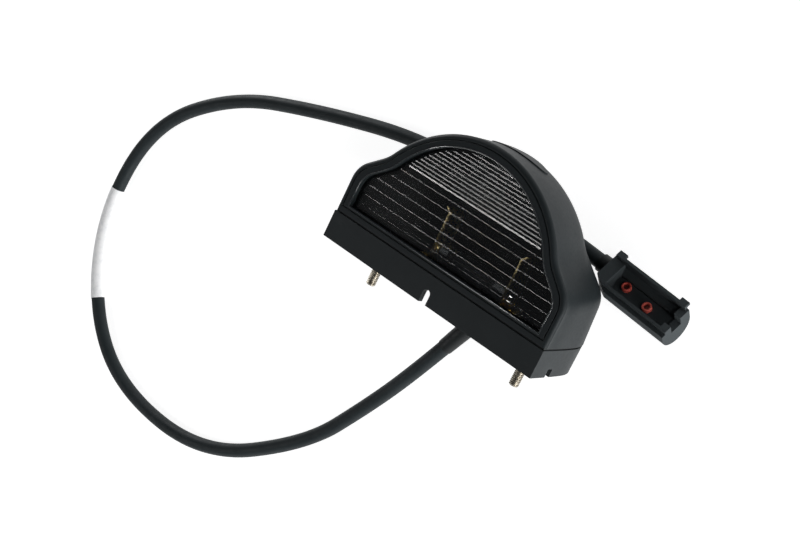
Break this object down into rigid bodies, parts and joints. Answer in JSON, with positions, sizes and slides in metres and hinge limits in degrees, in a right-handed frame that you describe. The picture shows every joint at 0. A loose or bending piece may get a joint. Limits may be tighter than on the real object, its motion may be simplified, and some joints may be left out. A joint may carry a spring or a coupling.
{
  "type": "number plate lamp",
  "caption": "Bell-shaped vehicle number plate lamp with a clear ribbed lens, festoon bulb, threaded mounting studs and a round cord that ends in an open-channel plug.",
  "frame": {"origin": "midway between the axes of the two studs, on the plane of the mounting face", "axes": "+X along the width, +Y from the mounting face towards the crown, +Z the way the lens faces; the lamp lies on its back with the cord on the same surface"},
  "size_m": [0.2798, 0.1931, 0.042],
  "materials": {
    "hood_plastic": "satin moulded",
    "base_plastic": "satin moulded",
    "clear_lens": "clear polished",
    "black_rubber": "matte",
    "cord_jacket": "satin",
    "zinc_steel": "zinc plated",
    "contact_brass": "bright",
    "cap_metal": "nickel plated",
    "bulb_glass": "clear",
    "filament": "bare wire",
    "carrier_plastic": "moulded",
    "lead_insulation": "smooth",
    "plug_plastic": "moulded",
    "ring_rubber": "matte",
    "pin_metal": "tinned",
    "label_paper": "plain"
  },
  "bodies": {
    "root": {"hood": "hood_plastic", "lens": "clear_lens", "hood_seal": "black_rubber", "base": "base_plastic", "stud_left": "zinc_steel", "stud_right": "zinc_steel", "contact_carrier": "carrier_plastic", "contact_left": "contact_brass", "contact_right": "contact_brass", "terminal_left": "contact_brass", "terminal_right": "contact_brass", "rivet_left": "contact_brass", "rivet_right": "contact_brass", "bulb_cap_left": "cap_metal", "bulb_cap_right": "cap_metal", "bulb_glass": "bulb_glass", "bulb_filament": "filament", "cable_grommet": "black_rubber", "lead_left": "lead_insulation", "lead_right": "lead_insulation", "connector_body": "plug_plastic", "connector_pin_near": "pin_metal", "connector_pin_far": "pin_metal", "connector_seal_near": "ring_rubber", "connector_seal_far": "ring_rubber", "connector_gland": "black_rubber", "cord": "cord_jacket", "cord_label": "label_paper"}
  },
  "joints": []
}
